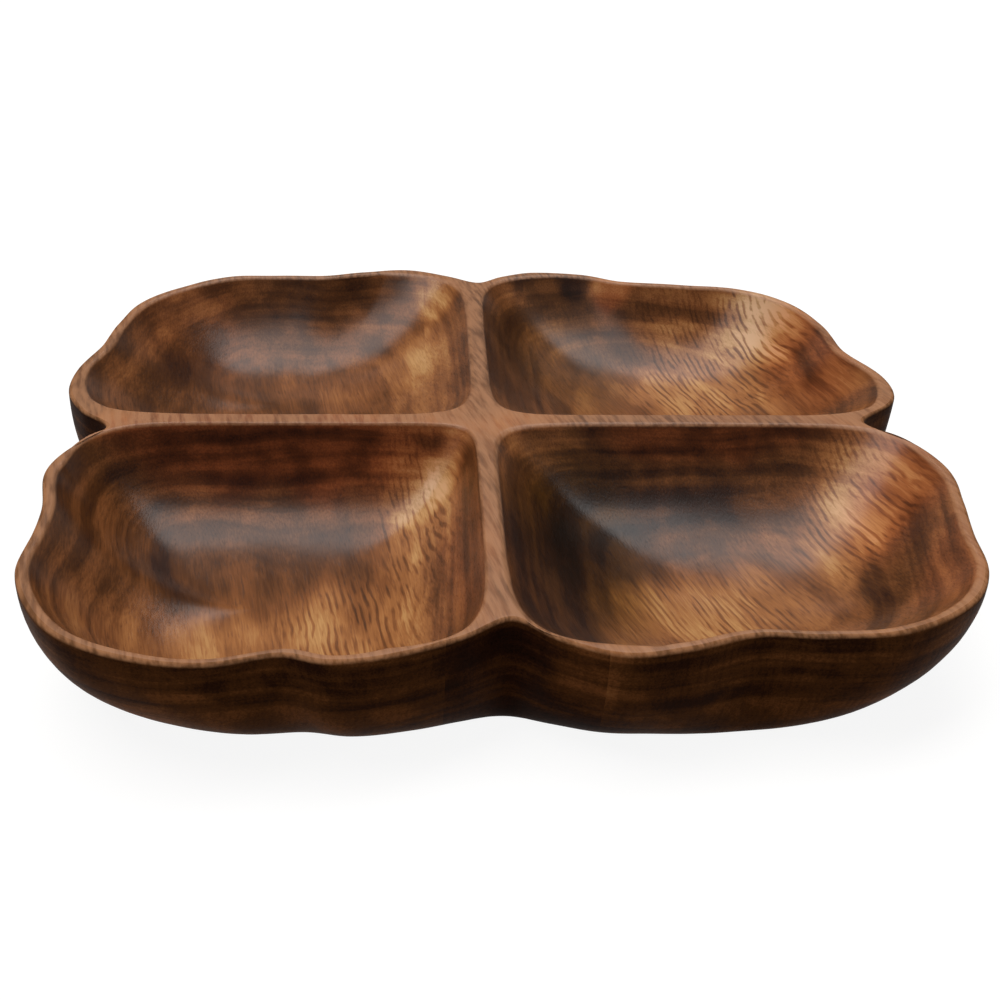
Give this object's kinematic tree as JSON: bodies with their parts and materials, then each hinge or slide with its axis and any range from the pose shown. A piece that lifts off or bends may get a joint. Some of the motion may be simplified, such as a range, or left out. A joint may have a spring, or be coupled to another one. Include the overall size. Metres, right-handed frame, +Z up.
{
  "type": "compartment serving tray",
  "caption": "Square lobed wooden serving tray with four carved bowls parted by crossing dividers, on a flat base.",
  "frame": {"origin": "middle of the tray's overall outline, on the surface that it stands on", "axes": "+X to the right, +Y to the back along the boards' grain, +Z up out of the bowls"},
  "size_m": [0.305, 0.305, 0.04],
  "materials": {
    "reddish_brown_wood": "satin",
    "warm_brown_wood": "satin",
    "gold_brown_wood": "satin",
    "dark_brown_wood": "satin"
  },
  "bodies": {
    "root": {"left_edge_board": "reddish_brown_wood", "left_outer_board": "warm_brown_wood", "left_inner_board": "gold_brown_wood", "centre_board": "dark_brown_wood", "right_inner_board": "gold_brown_wood", "right_outer_board": "warm_brown_wood", "right_edge_board": "reddish_brown_wood"}
  },
  "joints": []
}
